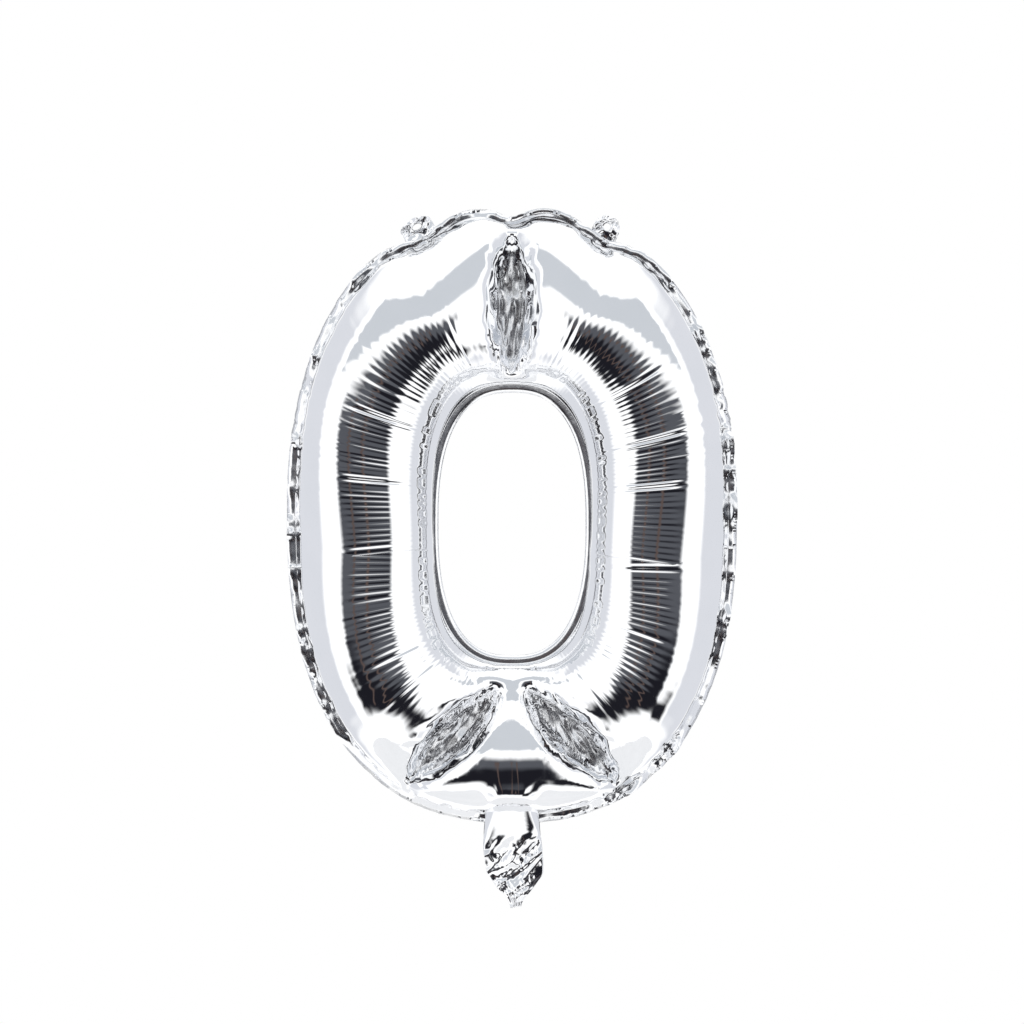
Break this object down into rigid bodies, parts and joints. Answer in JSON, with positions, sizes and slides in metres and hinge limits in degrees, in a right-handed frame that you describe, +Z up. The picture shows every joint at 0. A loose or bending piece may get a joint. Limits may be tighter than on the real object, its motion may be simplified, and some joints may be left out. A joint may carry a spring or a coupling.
{
  "type": "foil number balloon",
  "caption": "Air-filled foil number balloon shaped as a zero: welded foil films, inner weld patches, self-sealing tail valve and foldable hanging tabs.",
  "frame": {"origin": "centre of the whole inflated balloon's bounding box, tail and tabs included", "axes": "+Z up along the number's height, +X to the reader's right, +Y away from the reader, through the balloon's thickness"},
  "size_m": [0.25, 0.079, 0.3918],
  "materials": {
    "foil": "mirror-bright silver metallised film, smooth where taut and finely pleated beside the welds",
    "seal": "clear polyethylene lining, melted together in the weld",
    "valve_film": "thin milky polyethylene film"
  },
  "bodies": {
    "balloon": {"front_film": "foil", "back_film": "foil", "outer_seam": "seal", "hole_seam": "seal", "top_weld": "seal", "left_foot_weld": "seal", "right_foot_weld": "seal", "neck_seal": "valve_film"},
    "tail": {"tail_front_ply": "foil", "tail_back_ply": "foil", "tail_left_seam": "seal", "tail_right_seam": "seal", "valve_inlet_films": "valve_film"},
    "left_tab": {"left_hang_tab": "foil"},
    "right_tab": {"right_hang_tab": "foil"},
    "front_flap": {"valve_front_flap": "valve_film"},
    "back_flap": {"valve_back_flap": "valve_film"}
  },
  "joints": [
    {"name": "tail_fold", "type": "hinge", "parent": "balloon", "child": "tail", "pos_m": [0, 0, -0.14798], "axis": [1, 0, 0], "range_deg": [-115, 115]},
    {"name": "left_tab_fold", "type": "hinge", "parent": "balloon", "child": "left_tab", "pos_m": [-0.05047, 0, 0.18099], "axis": [0.902, 0, 0.4316], "range_deg": [-110, 110], "stiffness_Nm_per_rad": 0.0002},
    {"name": "right_tab_fold", "type": "hinge", "parent": "balloon", "child": "right_tab", "pos_m": [0.05047, 0, 0.18099], "axis": [0.902, 0, -0.4316], "range_deg": [-110, 110], "stiffness_Nm_per_rad": 0.0002},
    {"name": "valve_front_open", "type": "hinge", "parent": "balloon", "child": "front_flap", "pos_m": [0, 0, -0.14188], "axis": [1, 0, 0], "range_deg": [0, 8], "stiffness_Nm_per_rad": 0.002},
    {"name": "valve_back_open", "type": "hinge", "parent": "balloon", "child": "back_flap", "pos_m": [0, 0, -0.14188], "axis": [1, 0, 0], "range_deg": [-8, 0], "stiffness_Nm_per_rad": 0.002}
  ],
  "couplings": [
    {"joint": "valve_back_open", "follows": "valve_front_open", "ratio": -1}
  ]
}
